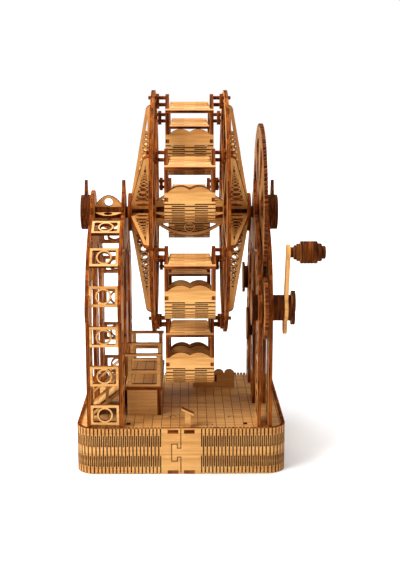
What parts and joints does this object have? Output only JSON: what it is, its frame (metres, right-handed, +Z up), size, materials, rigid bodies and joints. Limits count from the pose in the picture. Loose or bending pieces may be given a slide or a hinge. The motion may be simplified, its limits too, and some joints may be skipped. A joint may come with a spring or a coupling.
{
  "type": "hand-cranked tabletop ferris wheel",
  "caption": "Laser-cut plywood ferris wheel toy on a rounded box base: a side crank turns the geared wheel and its gondolas hang upright between two arched towers.",
  "frame": {"origin": "centre of the base's underside", "axes": "+Z up, +X along the wheel's axle towards the crank, -Y towards the front with the boarding steps"},
  "size_m": [0.2027, 0.2348, 0.3132],
  "materials": {
    "birch": "laser-cut birch plywood with a burnt edge",
    "birch_dark": "plywood seen mostly on its burnt edges",
    "knob_wood": "stacked plywood discs"
  },
  "bodies": {
    "base": {"base_bottom": "birch", "base_floor": "birch", "wall_left": "birch", "wall_right": "birch", "left_inner_frame": "birch", "left_outer_frame": "birch", "right_inner_frame": "birch", "right_outer_frame": "birch", "tower_rungs": "birch", "left_bearing": "birch", "right_bearing": "birch", "platform_box": "birch", "platform_deck": "birch", "platform_railings": "birch", "ramp": "birch", "ramp_handrails": "birch", "back_fence": "birch_dark", "sign_post": "birch", "tower_ties": "birch_dark"},
    "wheel": {"axle": "birch_dark", "rim_left": "birch", "rim_right": "birch", "fins_left": "birch_dark", "fins_right": "birch_dark", "hub_discs": "birch", "hub_braces": "birch_dark", "drive_gear": "birch"},
    "gondola_1": {"gondola_1_sides": "birch", "gondola_1_roof": "birch", "gondola_1_tub": "birch"},
    "gondola_2": {"gondola_2_sides": "birch", "gondola_2_roof": "birch", "gondola_2_tub": "birch"},
    "gondola_3": {"gondola_3_sides": "birch", "gondola_3_roof": "birch", "gondola_3_tub": "birch"},
    "gondola_4": {"gondola_4_sides": "birch", "gondola_4_roof": "birch", "gondola_4_tub": "birch"},
    "gondola_5": {"gondola_5_sides": "birch", "gondola_5_roof": "birch", "gondola_5_tub": "birch"},
    "gondola_6": {"gondola_6_sides": "birch", "gondola_6_roof": "birch", "gondola_6_tub": "birch"},
    "gondola_7": {"gondola_7_sides": "birch", "gondola_7_roof": "birch", "gondola_7_tub": "birch"},
    "gondola_8": {"gondola_8_sides": "birch", "gondola_8_roof": "birch", "gondola_8_tub": "birch"},
    "crank": {"crank_axle": "birch", "crank_pinion": "birch", "crank_discs": "birch", "crank_arm": "birch", "knob_pin": "knob_wood"},
    "knob": {"crank_knob": "knob_wood"}
  },
  "joints": [
    {"name": "wheel_spin", "type": "hinge", "parent": "base", "child": "wheel", "pos_m": [0.0075, 0, 0.2086], "axis": [1, 0, 0], "continuous": true},
    {"name": "gondola_1_swing", "type": "hinge", "parent": "wheel", "child": "gondola_1", "pos_m": [0.0075, -0.01805, 0.30696], "axis": [1, 0, 0], "continuous": true},
    {"name": "gondola_2_swing", "type": "hinge", "parent": "wheel", "child": "gondola_2", "pos_m": [0.0075, -0.08231, 0.26538], "axis": [1, 0, 0], "continuous": true},
    {"name": "gondola_3_swing", "type": "hinge", "parent": "wheel", "child": "gondola_3", "pos_m": [0.0075, -0.09836, 0.19055], "axis": [1, 0, 0], "continuous": true},
    {"name": "gondola_4_swing", "type": "hinge", "parent": "wheel", "child": "gondola_4", "pos_m": [0.0075, -0.05678, 0.12629], "axis": [1, 0, 0], "continuous": true},
    {"name": "gondola_5_swing", "type": "hinge", "parent": "wheel", "child": "gondola_5", "pos_m": [0.0075, 0.01805, 0.11024], "axis": [1, 0, 0], "continuous": true},
    {"name": "gondola_6_swing", "type": "hinge", "parent": "wheel", "child": "gondola_6", "pos_m": [0.0075, 0.08231, 0.15182], "axis": [1, 0, 0], "continuous": true},
    {"name": "gondola_7_swing", "type": "hinge", "parent": "wheel", "child": "gondola_7", "pos_m": [0.0075, 0.09836, 0.22665], "axis": [1, 0, 0], "continuous": true},
    {"name": "gondola_8_swing", "type": "hinge", "parent": "wheel", "child": "gondola_8", "pos_m": [0.0075, 0.05678, 0.29091], "axis": [1, 0, 0], "continuous": true},
    {"name": "crank_spin", "type": "hinge", "parent": "base", "child": "crank", "pos_m": [0.069, -0.07062, 0.13798], "axis": [1, 0, 0], "continuous": true},
    {"name": "knob_spin", "type": "hinge", "parent": "crank", "child": "knob", "pos_m": [0.0975, -0.08539, 0.18627], "axis": [1, 0, 0], "continuous": true}
  ],
  "couplings": [
    {"joint": "gondola_1_swing", "follows": "wheel_spin", "ratio": -1},
    {"joint": "gondola_2_swing", "follows": "wheel_spin", "ratio": -1},
    {"joint": "gondola_3_swing", "follows": "wheel_spin", "ratio": -1},
    {"joint": "gondola_4_swing", "follows": "wheel_spin", "ratio": -1},
    {"joint": "gondola_5_swing", "follows": "wheel_spin", "ratio": -1},
    {"joint": "gondola_6_swing", "follows": "wheel_spin", "ratio": -1},
    {"joint": "gondola_7_swing", "follows": "wheel_spin", "ratio": -1},
    {"joint": "gondola_8_swing", "follows": "wheel_spin", "ratio": -1},
    {"joint": "crank_spin", "follows": "wheel_spin", "ratio": -3.0476}
  ]
}
